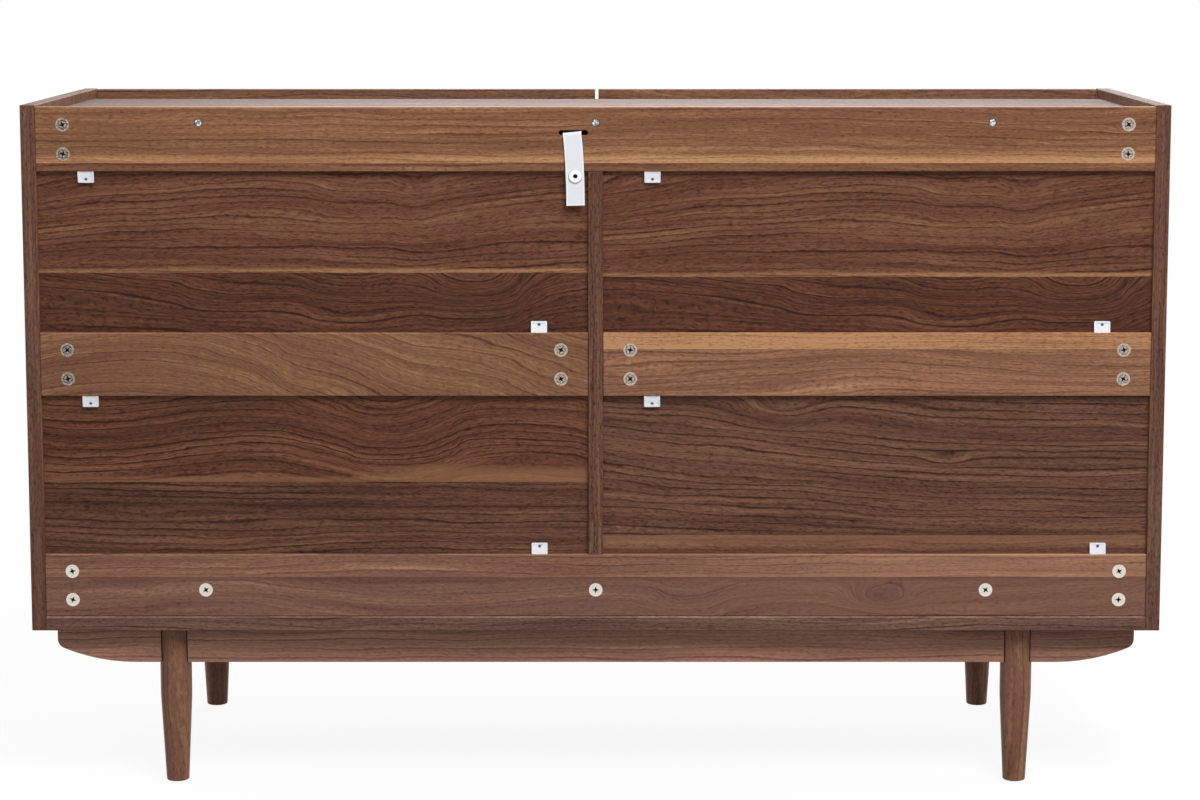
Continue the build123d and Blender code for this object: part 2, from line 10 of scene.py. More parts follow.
import bpy
import numpy as np
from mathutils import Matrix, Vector


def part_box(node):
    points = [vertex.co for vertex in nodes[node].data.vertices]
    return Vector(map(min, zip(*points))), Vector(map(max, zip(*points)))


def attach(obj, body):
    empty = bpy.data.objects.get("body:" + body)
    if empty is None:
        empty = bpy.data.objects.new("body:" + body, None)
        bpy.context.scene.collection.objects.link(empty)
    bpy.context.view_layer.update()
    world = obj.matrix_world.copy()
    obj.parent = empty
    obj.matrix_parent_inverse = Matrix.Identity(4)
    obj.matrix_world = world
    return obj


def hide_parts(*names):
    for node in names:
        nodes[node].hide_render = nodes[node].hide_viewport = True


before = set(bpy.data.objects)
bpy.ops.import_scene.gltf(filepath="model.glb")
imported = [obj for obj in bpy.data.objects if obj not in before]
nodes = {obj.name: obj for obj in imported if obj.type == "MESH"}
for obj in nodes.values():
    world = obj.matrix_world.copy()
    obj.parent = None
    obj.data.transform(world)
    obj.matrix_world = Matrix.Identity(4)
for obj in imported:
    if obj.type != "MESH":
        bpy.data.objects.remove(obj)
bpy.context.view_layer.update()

# %% [markdown]
# Finishes need places, such as a board's end or a leg's axis. Numbers would be wrong as soon as a solid
# changes, so places are read off the boxes of the solids. Flat facets put the middle of a round solid's box
# off by microns, so they are rounded.

# %% Places on the solids
DIGITS = 4  # of a place in metres, so to a tenth of a millimetre


def corners_of(node):
    """The lowest and the highest corner of a solid's box."""
    return [[round(value, DIGITS) for value in corner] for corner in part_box(node)]


def middle_of(node):
    """The middle of a solid's box."""
    return [round((low + high) / 2, DIGITS) for low, high in zip(*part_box(node))]


print("the top rail ends at", corners_of("top_rear_rail")[1])

# %% [markdown]
# A finish is a tree of shader nodes. Adding each node and each link by hand hides the sum that they make
# up, so one small class wraps a socket: arithmetic on it adds Math nodes, and one method adds every other
# kind of node. A finish then reads as the formula that it is.


# %% Sockets that can be reckoned with
class Wire:
    """A socket of a node tree. Arithmetic on it adds Math nodes, and node() adds any other kind."""

    def __init__(self, tree, socket=None):
        self.tree = tree
        self.socket = socket

    def node(self, kind, settings=None, sockets=None, out=0):
        """Add a node: first its settings, then the value or the link of each socket. Return one output."""
        new = self.tree.nodes.new("ShaderNode" + kind)
        for key, value in (settings or {}).items():
            if key == "stops":
                elements = new.color_ramp.elements
                while len(elements) < len(value):
                    elements.new(1.0)
                for element, (position, colour) in zip(elements, value):
                    element.position = position
                    element.color = colour
            elif key == "points":
                curve = new.mapping.curves[0]
                while len(curve.points) < len(value):
                    curve.points.new(0.5, 0.5)
                for point, location in zip(curve.points, value):
                    point.location = location
                new.mapping.update()
            else:
                setattr(new, key, value)
        for key, value in (sockets or {}).items():
            put(new.inputs[key], value)
        return Wire(self.tree, new.outputs[out])

    def maths(self, operation, *values):
        """Add a Math node that works on these values."""
        return self.node("Math", {"operation": operation}, dict(enumerate(values)))

    def __add__(self, other):
        return self.maths("ADD", self, other)

    def __sub__(self, other):
        return self.maths("SUBTRACT", self, other)

    def __rsub__(self, other):
        return self.maths("SUBTRACT", other, self)

    def __mul__(self, other):
        return self.maths("MULTIPLY", self, other)

    def __truediv__(self, other):
        return self.maths("DIVIDE", self, other)

    def __rtruediv__(self, other):
        return self.maths("DIVIDE", other, self)

    def __gt__(self, other):
        return self.maths("GREATER_THAN", self, other)

    def __lt__(self, other):
        return self.maths("LESS_THAN", self, other)

    def __abs__(self):
        return self.maths("ABSOLUTE", self)

    __radd__ = __add__
    __rmul__ = __mul__


def put(socket, value):
    """Link a wire to a socket, or set the socket to a plain value."""
    if isinstance(value, Wire):
        value.tree.links.new(value.socket, socket)
    else:
        socket.default_value = value


print("wires take + - * / < > and abs")

# %% [markdown]
# Every finish starts in the same way: a material with one Principled shader, the colours written as they
# look on screen, and the place on the piece in metres, which stays with the piece when it moves. Each could
# be set up anew, but a few helpers keep the finishes short.


# %% What all finishes share
def screen(code):
    """A screen colour, #rrggbb, as the linear values that a shader works in.

    A screen's curve is a straight line near black and a power of 2.4 above it.
    """
    share = np.array([int(code[i : i + 2], 16) for i in (1, 3, 5)]) / 255
    linear = np.where(share <= 0.04045, share / 12.92, ((share + 0.055) / 1.055) ** 2.4)
    return (*linear.tolist(), 1.0)


def new_finish(name, constants):
    """A material whose Principled shader has these constants, with the shader's sockets and a first wire."""
    material = bpy.data.materials.new(name)
    material.use_nodes = True
    sockets = material.node_tree.nodes["Principled BSDF"].inputs
    for key, value in constants.items():
        sockets[key].default_value = value
    return material, sockets, Wire(material.node_tree)


def place_on_piece(start):
    """A point's place on the piece, in metres, as one vector."""
    return start.node("TexCoord", out=3)


def parts(vector):
    """The three coordinates of a vector, as three wires."""
    return [vector.node("SeparateXYZ", sockets={0: vector}, out=i) for i in range(3)]


def together(a, b, c):
    """Three wires or numbers as one vector."""
    first = next(part for part in (a, b, c) if isinstance(part, Wire))
    return first.node("CombineXYZ", sockets={0: a, 1: b, 2: c})


def diagonal(a, b):
    """The root of the sum of two squares, such as the distance from an axis."""
    return a.maths("SQRT", a * a + b * b)


def noise(place, scale, detail=0.0, roughness=0.5):
    """Smooth random values from 0 to 1, with a scale for each direction, in waves to the metre."""
    spread = place.node("VectorMath", {"operation": "MULTIPLY"}, {0: place, 1: scale})
    return spread.node(
        "TexNoise", sockets={"Vector": spread, "Scale": 1.0, "Detail": detail, "Roughness": roughness}
    )


def smooth(value, low, high):
    """0 below low, 1 above high, with an S-shaped rise between them."""
    sockets = {"Value": value, "From Min": low, "From Max": high}
    return value.node("MapRange", {"interpolation_type": "SMOOTHSTEP"}, sockets)


def follow(value, points):
    """The height at a value of a smooth curve through these points, which are in rising order."""
    points = np.array(points)
    low, size = points.min(0), np.ptp(points, axis=0)
    share = (value - low[0]) / size[0]
    return value.node("FloatCurve", {"points": (points - low) / size}, {"Value": share}) * size[1] + low[1]


def mix(share, first, second):
    """A colour that goes from the first to the second as share goes from 0 to 1."""
    return share.node("Mix", {"data_type": "RGBA"}, {0: share, 6: first, 7: second}, out=2)


def bumpy(sockets, height, strength, distance):
    """Give a shader's normal the small relief of a height."""
    relief = {"Height": height, "Strength": strength, "Distance": distance}
    put(sockets["Normal"], height.node("Bump", sockets=relief))


def wear(material, *names):
    """Put a finish on the solids of these names."""
    for name in names:
        nodes[name].data.materials.clear()
        nodes[name].data.materials.append(material)
    print(material.name, "on", len(names), "pieces")


print("half of a screen's white is", round(screen("#808080")[0], 3), "to a shader")

# %% [markdown]
# The boards carry a printed walnut veneer. A photograph would be the usual way, but a formula has no seams
# and follows each board. Veneer is a slice through growth rings, so the print is drawn that way: a field
# that counts rings across the board, bent by slow noise so that the rings swirl, with a dark line where
# each ring ends. Fine fibres, pores and clouds of tone lie over it. The print imitates planks glued side by
# side, so at each joint line the field jumps to another plank. What a print is made of is described first.


# %% Planks, strips and eyes
@dataclass
class Plank:
    """One plank of the print: its tone on the walnut scale and how its growth rings run."""

    tone: float
    seed: float
    rings: float = 90.0  # growth rings to the metre
    swirl: float = 5.0  # how many rings the slow figure wanders
    line: float = 0.2  # how dark the end of a ring is
    dull: float = 0.0  # how far the colour leans to grey
    figure: float = 1.0  # how tight the slow figure is
    fine: float = 0.06  # how dark the three finer lines of a ring are
    course: tuple = ()  # points of one ring's line, along and across the board
    reach: float = 0.06  # how far from that line the other rings still bend with it


@dataclass
class Strip:
    """A strip beside a line across the board that is paler or darker than the rest, such as sapwood, a
    painted highlight along an upper edge and painted shade at a foot.
    """

    edge: float
    reach: float  # how far the strip goes from its edge, below zero for the other side
    amount: float
    fade: tuple = ()  # where along the board the strip starts to show, and where it is whole
    calm: float = 0.3  # how far the strip loses the figure


@dataclass
class Eye:
    """A place where the rings close round a point, as they do near a knot."""

    along: float
    across: float
    reach: float  # along the board
    rise: float  # across it
    hill: float  # how many rings it adds at its middle
    plank: int = 0


def line(text):
    """Points of a line, written as pairs of millimetres: along the board, then up from the floor."""
    return tuple(tuple(float(number) / 1000 for number in pair.split(",")) for pair in text.split())


WALNUT_SCALE = [
    (0.00, screen("#2c1711")),
    (0.25, screen("#4e2d20")),
    (0.45, screen("#653f2f")),
    (0.70, screen("#81593f")),
    (0.90, screen("#a37652")),
    (1.00, screen("#b98a62")),
]
print("walnut scale of", len(WALNUT_SCALE), "tones")

# %% [markdown]
# Every board is cut another way, so the print needs to know how far a point is along, across and through
# its own board, and on which plank. One node group for each board would do, but an object that holds these
# three wires lets every formula below read the same for all of them.


# %% Where a point is on a board
def flat_axes(along, across, through):
    """Axes of a board whose grain runs along one of x, y and z."""
    return lambda x, y, z: [{"x": x, "y": y, "z": z}[name] for name in (along, across, through)]


class Board:
    """How far a point is along, across and through a printed board, and its place in the print."""

    def __init__(self, start, axes, planks, joints, shift):
        along, across, self.through = axes(*parts(place_on_piece(start)))
        self.along = along + shift[0]
        self.across = across + shift[1]
        self.planks = planks
        self.joints = joints
        self.place = self.place_at(self.across)

    def by_plank(self, value_of):
        """A value that steps at each joint: the first plank's, plus each change past its joint."""
        values = [value_of(plank) for plank in self.planks]
        total = values[0]
        for joint, before, after in zip(self.joints, values, values[1:]):
            if after != before:
                total = (self.across > joint) * (after - before) + total
        return total

    def place_at(self, across):
        """A point of the print, so far across it. The seed keeps planks apart, like those of other logs."""
        return together(self.along + self.by_plank(lambda plank: plank.seed), across, self.through)


lengthways = flat_axes("x", "z", "y")
upright = flat_axes("z", "x", "y")
print("boards are cut lengthways or upright")

# %% [markdown]
# Growth rings make the figure of walnut: long lines that swell, bend round knots and crowd together. They
# could be drawn one by one, but a count of rings that changes smoothly from point to point gives all of
# them at once: a line lies wherever the count passes a whole number.

# %% Counting rings
WOBBLE = 0.011  # how far a ring strays over some centimetres, in metres
CRINKLE = 0.0014  # and over some millimetres
LINE_WIDTH = 0.003  # of the dark end of a ring, in metres
WIDEST_LINE = 0.7  # as a share of the ring
LINE_SHARE = 0.45  # what a line is taken to darken, as a share of its width


def count_rings(board, eyes, pith):
    """The number of growth rings up to a point.

    It is the distance across the board, or from the pith, times the rings to the metre, plus slow noise.
    Near a plank's course the distance is taken from that line instead, and less and less so further away.
    Each eye adds a bell-shaped hill.
    """
    figure_scale = {0: board.place, "Scale": board.by_plank(lambda plank: plank.figure)}
    tight = board.place.node("VectorMath", {"operation": "SCALE"}, figure_scale)
    figure = noise(tight, (2.6, 10.0, 10.0), 1.0) - 0.5
    wobble = noise(board.place, (9.0, 55.0, 55.0), 1.5) - 0.5
    crinkle = noise(board.place, (150.0, 260.0, 260.0), 1.0) - 0.5
    distance = board.across
    if pith:
        distance = diagonal(board.across - pith[0], board.through - pith[1])
    for own in board.planks:
        if own.course:
            level = float(np.mean([point[1] for point in own.course]))
            away = (board.across - level) / own.reach
            bend = follow(board.along, own.course) - level
            on_plank = board.by_plank(lambda plank: float(plank is own))
            distance = distance - bend * on_plank / (away * away + 1.0)
    distance = distance + wobble * WOBBLE + crinkle * CRINKLE
    rings = distance * board.by_plank(lambda plank: plank.rings)
    rings = rings + figure * board.by_plank(lambda plank: plank.swirl)
    for eye in eyes:
        du = (board.along - eye.along) / eye.reach
        dv = (board.across - eye.across) / eye.rise
        bell = rings.maths("EXPONENT", (du * du + dv * dv) * -1.0)
        own = board.planks[eye.plank]
        rings = rings + bell * board.by_plank(lambda plank: eye.hill * (plank is own))
    return rings


def ring_lines(board, rings, to_ring):
    """A dark line at the end of each ring, and the share of the board that the lines take.

    The fraction of the count runs from 0 to 1 over a ring. The line rises to its peak over three quarters of
    its width and falls over the last quarter. A whole line so darkens half of its width, and one that is
    broken into dashes somewhat less.
    """

    def width_of(plank):
        return min(WIDEST_LINE, LINE_WIDTH * to_ring * plank.rings)

    width = board.by_plank(width_of)
    phase = rings.maths("FRACT", rings)
    peak = 1.0 - width * 0.25
    lines = smooth(phase, 1.0 - width, peak) - smooth(phase, peak, 1.0)
    return lines, board.by_plank(lambda plank: LINE_SHARE * width_of(plank))


print("ring lines up to", LINE_WIDTH * 1000, "mm wide")

# %% [markdown]
# Between the lines, walnut has fibres, pores and streaks, and its tone drifts slowly. Laid straight along
# the board they would look like scratches over the figure, so all of them are noise stretched along the
# rings: the count of rings takes the place of the distance across.

# %% The figure between the lines
CLOUD, BANDS, STREAK, FIBRE, PORES, LINES = 0.16, 0.4, 0.56, 0.34, 0.16, 2.8  # how much each changes the tone
UNEVEN = 0.01  # how far rings crowd together, in metres
FINER = 3  # finer lines to a ring
PORE_SHARE = 0.22  # share of the board that pores are taken to cover


def lay_figure(board, rings, coarse):
    """The change of tone that the figure makes, with its fibres and its pores.

    Rings are unevenly spaced, by noise that follows them. The lines at their ends are broken into dashes, and
    how bold they are changes from ring to ring. Bands, streaks, fibres and pores are finer and finer noise
    along the rings, and clouds are slow noise over the plank.
    """
    to_metre = board.by_plank(lambda plank: plank.rings)
    flow = board.place_at(rings / to_metre)
    uneven = noise(flow, (0.9, 33.0, 33.0)) - 0.5
    rings = rings + uneven * (UNEVEN * to_metre)
    late, late_share = ring_lines(board, rings, 1)
    close, close_share = ring_lines(board, rings * float(FINER), FINER)
    bold = smooth(noise(flow, (2.6, 95.0, 95.0), 1.0), 0.36, 0.66) * 0.85 + 0.15
    dash = smooth(noise(flow, (40.0, 240.0, 240.0), 1.0), 0.35, 0.65)
    bands = noise(flow, (1.3, 42.0, 42.0), 1.0) - 0.5
    streak = noise(flow, (5.0, 150.0, 150.0), 2.0, 0.6) - 0.5
    fibre = noise(flow, (90.0, 500.0, 500.0), 1.5, 0.6) - 0.5
    pores = smooth(noise(flow, (170.0, 720.0, 720.0), 1.0), 0.52, 0.66)
    cloud = noise(board.place, (1.5, 8.0, 8.0), 2.0) - 0.5

    detail = cloud * CLOUD + bands * BANDS + streak * (STREAK * coarse) + fibre * (FIBRE * coarse)
    line_dark = board.by_plank(lambda plank: LINES * plank.line)
    detail = detail - (late * (dash * 0.3 + 0.7) - late_share) * bold * line_dark
    detail = detail - (close - close_share) * board.by_plank(lambda plank: plank.fine)
    return detail - (pores - PORE_SHARE) * (PORES * coarse), fibre, pores


print("weights of cloud, bands and lines in the tone:", CLOUD, BANDS, LINES)

# %% [markdown]
# A board's print is the tone of its planks with the figure laid over it, the strips beside its joints and a
# thin shadow where the board ends. Colours could be mixed layer by layer, but that greys them. So the tone
# stays one number to the last, and a scale of walnut tones then turns it into colour.

# %% The print as a whole
END_WIDTH, END_DARK = 0.0014, 0.45  # of the shadow line at a board's end


def lay_strip(board, strip, tone, detail):
    """Tone and figure with a strip laid in, which is whole up to 0.4 of its reach and gone at its reach."""
    beside = (board.across > strip.edge) if strip.reach > 0 else (board.across < strip.edge)
    reach = abs(strip.reach)
    inside = (1.0 - smooth(abs(board.across - strip.edge), 0.4 * reach, reach)) * beside
    if strip.fade:
        inside = inside * smooth(board.along, *strip.fade)
    return inside * strip.amount + tone, detail * (1.0 - inside * strip.calm)


def walnut(
    name,
    axes,
    planks,
    joints=(),
    shift=(0.0, 0.0),
    eyes=(),
    strips=(),
    ends=(),
    pith=None,
    coarse=1.0,
    shine=0.42,
    gloss=0.12,
    rosy=0.0,
):
    """A walnut print on a board that these axes cut from planks, with joints between them.

    Tone is the plank's own tone plus its strips and its figure, less a shadow line at each end. The walnut
    scale turns tone into colour, which leans to grey by the plank's dull and to red by rosy, in degrees of
    hue. Coarse scales streaks, fibres and pores, shine is the roughness and gloss the strength of its
    reflection.
    """
    material, sockets, start = new_finish(name, {"Specular IOR Level": gloss})
    board = Board(start, axes, planks, joints, shift)
    detail, fibre, pores = lay_figure(board, count_rings(board, eyes, pith), coarse)
    tone = board.by_plank(lambda plank: plank.tone)
    for strip in strips:
        tone, detail = lay_strip(board, strip, tone, detail)
    tone = detail + tone
    for end in ends:
        tone = tone - (1.0 - smooth(abs(board.along - end), 0.0, END_WIDTH)) * END_DARK
    colour = tone.node("ValToRGB", {"stops": WALNUT_SCALE}, {0: tone})
    dull = board.by_plank(lambda plank: plank.dull)
    if isinstance(dull, Wire) or dull or rosy:
        lean = {"Hue": 0.5 - rosy / 360, "Saturation": 1.0 - dull, "Color": colour}
        colour = colour.node("HueSaturation", sockets=lean)
    put(sockets["Base Color"], colour)
    put(sockets["Roughness"], fibre * 0.12 + pores * 0.1 + shine)
    bumpy(sockets, fibre * 0.4 - pores, 0.1, 0.0003)
    return material


print("shadow line at a board's end:", END_WIDTH * 1000, "mm")

# %% [markdown]
# The rear rails are paler than the panels between them. The top one has a strip of sapwood above a joint,
# and the one on the picture's right has a whole plank of it. One print for all would be shorter, but each
# rail shows its own planks. Where a line of the figure stands out, its course is given by a few points.

# %% Top and middle rails
RAIL_END, BACK, TOP_EDGE = corners_of("top_rear_rail")[1]  # x of its end, y of the back, z of its top
DIVIDER_FACE = corners_of("centre_divider")[1][0]  # where the middle rails start
ARRIS = 0.0018  # width of the pale line along an upper edge, a painted highlight
TOP_JOINT = 0.6971  # level of the top rail's joint
wear(
    walnut(
        "walnut_top_rail",
        lengthways,
        [Plank(0.60, 3.1, 110, 2.0, 0.1), Plank(0.66, 0.4, 130, 2.6, 0.1)],
        joints=(TOP_JOINT,),
        strips=[Strip(TOP_JOINT, 0.012, 0.26), Strip(TOP_EDGE, -ARRIS, 0.12)],
        ends=(-RAIL_END, RAIL_END),
    ),
    "top_rear_rail",
)

MIDDLE_JOINT = 0.4930  # level of the joint on one middle rail
MIDDLE_EDGE = corners_of("middle_rear_rail_right")[1][2]  # and of the upper edge of both
sweep = line(
    "20,350 60,360 100,375 150,388 200,395 240,411 280,428 330,441 360,458 400,474 450,487 500,490 570,486 "
    "610,478"
)
wear(
    walnut(
        "walnut_middle_rail_right",
        lengthways,
        [Plank(0.62, 7.7, 90, 1.8, 0.11, 0.03, reach=0.2, course=sweep)],
        strips=[Strip(MIDDLE_EDGE, -ARRIS, 0.12)],
        ends=(DIVIDER_FACE, RAIL_END),
        coarse=0.95,
    ),
    "middle_rear_rail_right",
)
wear(
    walnut(
        "walnut_middle_rail_left",
        lengthways,
        [Plank(0.70, 12.3, 95, 5.0, 0.11, 0.05), Plank(0.92, 15.2, 120, 2.0, 0.06)],
        joints=(MIDDLE_JOINT,),
        ends=(-DIVIDER_FACE, -RAIL_END),
        coarse=0.95,
        rosy=1.5,
    ),
    "middle_rear_rail_left",
)

# %% [markdown]
# The bottom rail is the rosiest of the rails, with slow waves of figure below its joint. Grain alone would
# not give its narrow bands, so it has six strips. Both planks pale towards the key lamp's end, as painted
# light; a light and a dark line mark the joint; the upper edge is pale, a painted highlight; and the foot
# lies in shade.

# %% Bottom rail
BOTTOM_JOINT = 0.2387  # level of the bottom rail's joint
BOTTOM_FOOT, BOTTOM_EDGE = [corner[2] for corner in corners_of("bottom_rear_rail")]  # and of its edges
waves = line(
    "-610,226 -500,216 -400,212 -330,216 -240,226 -170,222 -130,213 -100,209 -75,212 -40,219 0,218 100,212 "
    "200,208 280,212 360,222 420,226 500,219 610,214"
)
wear(
    walnut(
        "walnut_bottom_rail",
        lengthways,
        [
            Plank(0.585, 21.4, 70, 0.8, 0.075, 0.15, fine=0.035, reach=0.1, course=waves),
            Plank(0.67, 24.9, 120, 2.6, 0.1, 0.1),
        ],
        joints=(BOTTOM_JOINT,),
        eyes=[Eye(-0.315, 0.216, 0.035, 0.014, 2.6)],
        strips=[
            # painted light: these two strips pale towards -x, the key lamp's side
            Strip(BOTTOM_JOINT, 0.05, 0.15, (0.1, -0.35)),
            Strip(BOTTOM_JOINT, 0.004, 0.05),
            Strip(BOTTOM_JOINT, -0.006, -0.06),
            Strip(BOTTOM_JOINT, -0.06, 0.05, (0.1, -0.3)),
            Strip(BOTTOM_EDGE, -ARRIS, 0.15),
            Strip(BOTTOM_FOOT, 0.0016, -0.4),
        ],
        ends=(-RAIL_END, RAIL_END),
        coarse=0.9,
        rosy=3.0,
    ),
    "bottom_rear_rail",
)

# %% [markdown]
# The four back panels are darker and show the boldest figure. The two upper ones are cut from one print, so
# the second isn't described anew: they share one formula, shifted along the board.

# %% Upper back panels
panel_look = {"coarse": 1.2, "shine": 0.5}
UPPER_JOINT = 0.5766  # level of the joint on both upper panels
swags = line(
    "0,590 40,584 66,574 78,565 91,550 129,538 154,537 196,546 230,544 255,541 301,546 331,557 360,559 "
    "398,559 432,563 463,573 500,580 550,586 600,589 655,590"
)
slope = line(
    "0,683 55,680 126,672 168,665 197,660 230,665 272,665 313,670 355,672 417,670 479,666 521,665 "
    "583,659 655,647"
)
for node, shift in (("back_panel_upper_right", (0.0, 0.0)), ("back_panel_upper_left", (0.662, 0.0044))):
    wear(
        walnut(
            "walnut_" + node,
            lengthways,
            [
                Plank(0.27, 31.0, 80, 2.4, 0.22, figure=1.35, fine=0.1, reach=0.045, course=swags),
                Plank(0.45, 36.2, 140, 1.8, 0.15, course=slope),
            ],
            joints=(UPPER_JOINT,),
            shift=shift,
            eyes=[Eye(0.128, 0.572, 0.06, 0.024, 1.0), Eye(0.51, 0.574, 0.07, 0.022, 0.8)],
            strips=[Strip(UPPER_JOINT, 0.0065, 0.34)],
            **panel_look,
        ),
        node,
    )

# %% [markdown]
# The lower panels come from other sheets. On the picture's left, sapwood widens above the joint towards the
# divider. On its right, a pale plank shows along the foot, with the shade of the groove below it.

# %% Lower back panels
LOWER_RIGHT_JOINT = 0.3444
dip = line(
    "10,401 61,408 107,409 162,395 200,382 234,378 276,388 318,399 381,407 432,405 487,397 550,392 "
    "608,396"
)
wear(
    walnut(
        "walnut_back_panel_lower_right",
        lengthways,
        [Plank(0.355, 43.0, 135, 2.8, 0.18, 0.06), Plank(0.35, 47.5, 115, 1.4, 0.22, course=dip)],
        joints=(LOWER_RIGHT_JOINT,),
        eyes=[Eye(0.230, 0.446, 0.06, 0.03, 1.6, plank=1)],
        strips=[
            Strip(LOWER_RIGHT_JOINT, 0.024, 0.36, (0.33, 0.12), calm=0.8),
            Strip(LOWER_RIGHT_JOINT, 0.008, 0.25, (0.12, 0.33), calm=0.6),
        ],
        **panel_look,
    ),
    "back_panel_lower_right",
)

LOWER_LEFT_JOINT = 0.2844
rise = line(
    "-607,378 -494,381 -428,384 -390,385 -349,388 -286,395 -245,401 -203,405 -170,408 -133,411 -100,414 "
    "-58,418 -9,424"
)
wear(
    walnut(
        "walnut_back_panel_lower_left",
        lengthways,
        [
            Plank(0.58, 51.0, 110, 2.0, 0.08, 0.06),
            Plank(0.375, 55.5, 125, 1.8, 0.17, 0.08, reach=0.09, course=rise),
        ],
        joints=(LOWER_LEFT_JOINT,),
        eyes=[
            Eye(-0.205, 0.428, 0.045, 0.022, 3.0, plank=1),
            Eye(-0.387, 0.369, 0.025, 0.008, 0.9, plank=1),
        ],
        strips=[Strip(LOWER_LEFT_JOINT, -0.014, 0.1, calm=0.6), Strip(BOTTOM_EDGE, 0.009, -0.14)],
        **panel_look,
    ),
    "back_panel_lower_left",
)

# %% [markdown]
# The sides and the divider show their rear edges, with banding whose grain runs up them. The banding of a
# side's upper edge runs from front to back. A mesh for each face would let each have its own print, but the
# solid has to stay as it is, so the print turns with the face: the normal says which face a point is on.

# %% Sides and divider
FACE_SHIFT = 2.0  # sets the faces apart from the edges, as another plank of the print
FACING = 0.5  # the share of the normal from which a face counts as facing that way


def side_axes(x, y, z):
    """Axes of a side panel: up the faces and the rear edge, and from front to back on the upper edge."""
    nx, _, nz = parts(x.node("TexCoord", out=1))
    on_top = abs(nz) > FACING
    on_face = abs(nx) > FACING
    along = z + (y - z) * on_top
    across = x + (y + FACE_SHIFT - x) * on_face
    return along, across, y


wear(
    walnut(
        "walnut_side",
        side_axes,
        [
            Plank(0.43, 61.0, 260, 1.5, 0.06, 0.12),
            Plank(0.58, 63.0, 80, 5.0, 0.15),
            Plank(0.63, 64.4, 95, 4.0, 0.15),
        ],
        joints=(FACE_SHIFT / 2, FACE_SHIFT + 0.05),
        coarse=1.2,
        shine=0.45,
    ),
    "side_panel_left",
    "side_panel_right",
)
wear(
    walnut("walnut_divider", upright, [Plank(0.35, 66.0, 260, 1.5, 0.06, 0.1)], coarse=1.5, shine=0.5),
    "centre_divider",
)

# %% [markdown]
# The bottom shows only its rear edge, whose upper arris catches the light. The top is seen at a low angle,
# where it mirrors its white surroundings, so it gets a greyer and darker print with little gloss: the
# reflection does the rest, as it does on the real one, and nothing has to be painted in.

# %% Top and bottom
BOTTOM_ARRIS = sum(corners_of("bottom_panel")[1][1:])  # y plus z at the bottom's upper rear edge


def bottom_axes(x, y, z):
    """Axes of the bottom, which go on from its upper face round the arris and down its rear edge."""
    return x, y + z, 0.0


wear(
    walnut(
        "walnut_bottom",
        bottom_axes,
        [Plank(0.46, 71.0, 90, 5.0, 0.12, 0.2)],
        # painted highlight: a pale line along the bottom's upper rear arris
        strips=[Strip(BOTTOM_ARRIS, -ARRIS, 0.34)],
        coarse=1.2,
        shine=0.5,
        rosy=2.0,
    ),
    "bottom_panel",
)
wear(
    walnut(
        "walnut_top",
        flat_axes("x", "y", "z"),
        [
            Plank(0.41, 75.0, 80, 6.0, 0.14, 0.2),
            Plank(0.47, 78.0, 85, 6.0, 0.14, 0.2),
            Plank(0.39, 81.5, 75, 7.0, 0.14, 0.2),
        ],
        joints=(-0.06, 0.07),
        shine=0.52,
        gloss=0.095,
    ),
    "top_panel",
)

# %% [markdown]
# The six drawer fronts are cut from the same print, with their grain along the dresser, so that the figure
# runs on from one to its neighbour. The joint lines differ from row to row, as they do where each row comes
# off another sheet.

# %% Drawer fronts
ROWS, SIDES = ("top", "middle", "bottom"), ("left", "right")
for row, joint, seed in zip(ROWS, (0.655, 0.452, 0.288), (101.0, 113.0, 127.0)):
    wear(
        walnut(
            f"walnut_front_{row}",
            lengthways,
            [Plank(0.58, seed, 70, 8.0, 0.15, 0.08), Plank(0.66, seed + 4.3, 90, 5.0, 0.14, 0.08)],
            joints=(joint,),
            strips=[Strip(joint, 0.012, 0.14)],
            eyes=[Eye(0.30, joint - 0.03, 0.12, 0.03, 5.0), Eye(-0.27, joint - 0.05, 0.14, 0.03, -5.0)],
        ),
        *[f"drawer_{row}_{side}_front" for side in SIDES],
    )

# %% [markdown]
# The skirts are rosy boards with a quiet figure, printed paler than the rails partly as painted light, to
# make up for the shade under the case. The legs are turned from solid walnut, so a flat print would not meet
# round the back. Their rings are circles round a pith beside the leg, which cut the turned surface as real
# rings do.

# %% Skirts and legs
wear(
    # painted light in part: a tone paler than the rails', to make up for the shade under the case
    walnut("walnut_skirt", lengthways, [Plank(0.84, 83.0, 110, 3.0, 0.1, 0.16)], coarse=0.6, rosy=6.0),
    "front_skirt_boards",
    "rear_skirt_boards",
)

LEG_X, LEG_Y, _ = middle_of("leg_rear_right")  # a leg's axis, from the dresser's middle


def leg_axes(x, y, z):
    """Axes of a leg: up its length, with a shift that sets the four apart, and outwards from its own axis."""
    return z + (x > 0) * 1.3 + (y > 0) * 2.1, abs(x) - LEG_X, abs(y) - LEG_Y


wear(
    walnut(
        "walnut_leg",
        leg_axes,
        [Plank(0.655, 91.0, 160, 1.2, 0.09, 0.08)],
        pith=(0.06, -0.045),
        coarse=0.75,
        shine=0.38,
        rosy=2.5,
    ),
    *[f"leg_{end}_{side}" for end in ("front", "rear") for side in SIDES],
)

# %% [markdown]
# The drawer boxes are thinner boards with a plainer foil: the same walnut with hardly any figure. A plain
# brown would do where they are hidden, but an open drawer shows them.

# %% Drawer boxes
drawers = [f"drawer_{row}_{side}" for row in ROWS for side in SIDES]
for name, node, axes, plank, shine in (
    ("sides", "sides", flat_axes("y", "z", "x"), Plank(0.66, 131.0, 120, 2.0, 0.07, 0.1), 0.5),
    ("backs", "back", lengthways, Plank(0.66, 137.0, 120, 2.0, 0.07, 0.1), 0.5),
    ("bottoms", "bottom", flat_axes("x", "y", "z"), Plank(0.6, 141.0, 90, 4.0, 0.08, 0.1), 0.55),
):
    wear(
        walnut("walnut_drawer_" + name, axes, [plank], shine=shine),
        *[f"{drawer}_{node}" for drawer in drawers],
    )
